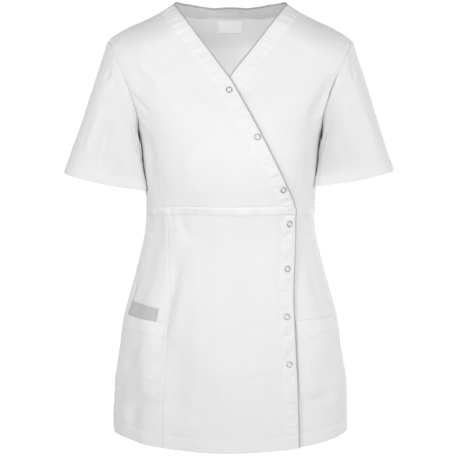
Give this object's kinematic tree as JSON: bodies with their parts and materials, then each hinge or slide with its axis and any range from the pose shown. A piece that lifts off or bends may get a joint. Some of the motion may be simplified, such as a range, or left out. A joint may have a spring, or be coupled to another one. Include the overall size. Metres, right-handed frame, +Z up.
{
  "type": "work blouse",
  "caption": "Women's wrap-front work blouse as worn: hollow body, short sleeves, V neck with grey piping, diagonal snap front, patch pockets and a pen tab.",
  "frame": {"origin": "middle of the neck opening, at the height of the high points of the shoulders, where the wearer holds the garment up", "axes": "+Z up from hem to shoulders, +Y to the garment's back, +X to the wearer's left, which is the viewer's right from in front"},
  "size_m": [0.5442, 0.2635, 0.7214],
  "materials": {
    "white_cloth": "matte twill weave",
    "grey_cloth": "matte twill weave",
    "label_tape": "soft satin tape",
    "snap_metal": "polished nickel plate"
  },
  "bodies": {
    "root": {"right_front_bodice": "white_cloth", "left_front_bodice": "white_cloth", "right_front_skirt": "white_cloth", "right_side_front": "white_cloth", "left_front_skirt": "white_cloth", "back": "white_cloth", "right_sleeve": "white_cloth", "left_sleeve": "white_cloth", "back_neck_facing": "white_cloth", "piping_right_front": "grey_cloth", "piping_back_neck": "grey_cloth", "piping_left_front": "grey_cloth", "pocket_right": "white_cloth", "pocket_left": "white_cloth", "pen_tab": "grey_cloth", "neck_label": "label_tape", "snap_ring_1": "snap_metal", "snap_ring_2": "snap_metal", "snap_ring_3": "snap_metal", "snap_ring_4": "snap_metal", "snap_ring_5": "snap_metal", "snap_ring_6": "snap_metal", "snap_ring_7": "snap_metal", "snap_core_1": "snap_metal", "snap_core_2": "snap_metal", "snap_core_3": "snap_metal", "snap_core_4": "snap_metal", "snap_core_5": "snap_metal", "snap_core_6": "snap_metal", "snap_core_7": "snap_metal", "snap_back_1": "snap_metal", "snap_back_2": "snap_metal", "snap_back_3": "snap_metal", "snap_back_4": "snap_metal", "snap_back_5": "snap_metal", "snap_back_6": "snap_metal", "snap_back_7": "snap_metal"}
  },
  "joints": []
}
